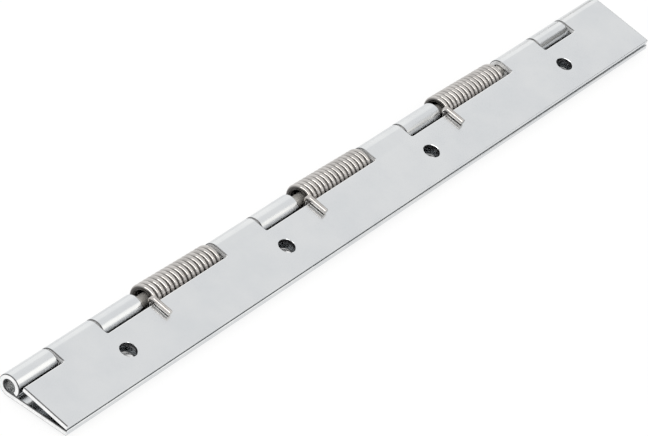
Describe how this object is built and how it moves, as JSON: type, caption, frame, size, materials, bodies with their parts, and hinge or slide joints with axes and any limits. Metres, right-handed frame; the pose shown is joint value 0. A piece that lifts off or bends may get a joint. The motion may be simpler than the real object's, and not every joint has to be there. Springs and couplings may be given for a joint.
{
  "type": "spring loaded door hinge",
  "caption": "Continuous sheet steel hinge held shut by torsion springs wound on its pin, with rolled knuckles, cut away leaf edges and a row of screw holes in each leaf.",
  "frame": {"origin": "centre of the lower leaf's row of screw holes, on the leaf's outer face", "axes": "+X along the pin, from the near end of the picture to the far end; +Y from the leaves' free edges towards the pin; +Z from the lower leaf towards the upper leaf"},
  "size_m": [0.24, 0.0216, 0.009],
  "materials": {
    "leaf_steel": "satin stainless sheet",
    "pin_steel": "drawn rod",
    "spring_steel": "bright drawn spring wire"
  },
  "bodies": {
    "lower": {"lower_leaf": "leaf_steel", "hinge_pin": "pin_steel", "spring_near": "spring_steel", "spring_middle": "spring_steel", "spring_far": "spring_steel"},
    "upper": {"upper_leaf": "leaf_steel"}
  },
  "joints": [
    {"name": "leaf_swing", "type": "hinge", "parent": "lower", "child": "upper", "pos_m": [0, 0.0099, 0.00305], "axis": [-1, 0, 0], "range_deg": [0, 190.28], "stiffness_Nm_per_rad": 0.49, "springref_deg": -5.73, "deforming": ["spring_near", "spring_middle", "spring_far"]}
  ]
}
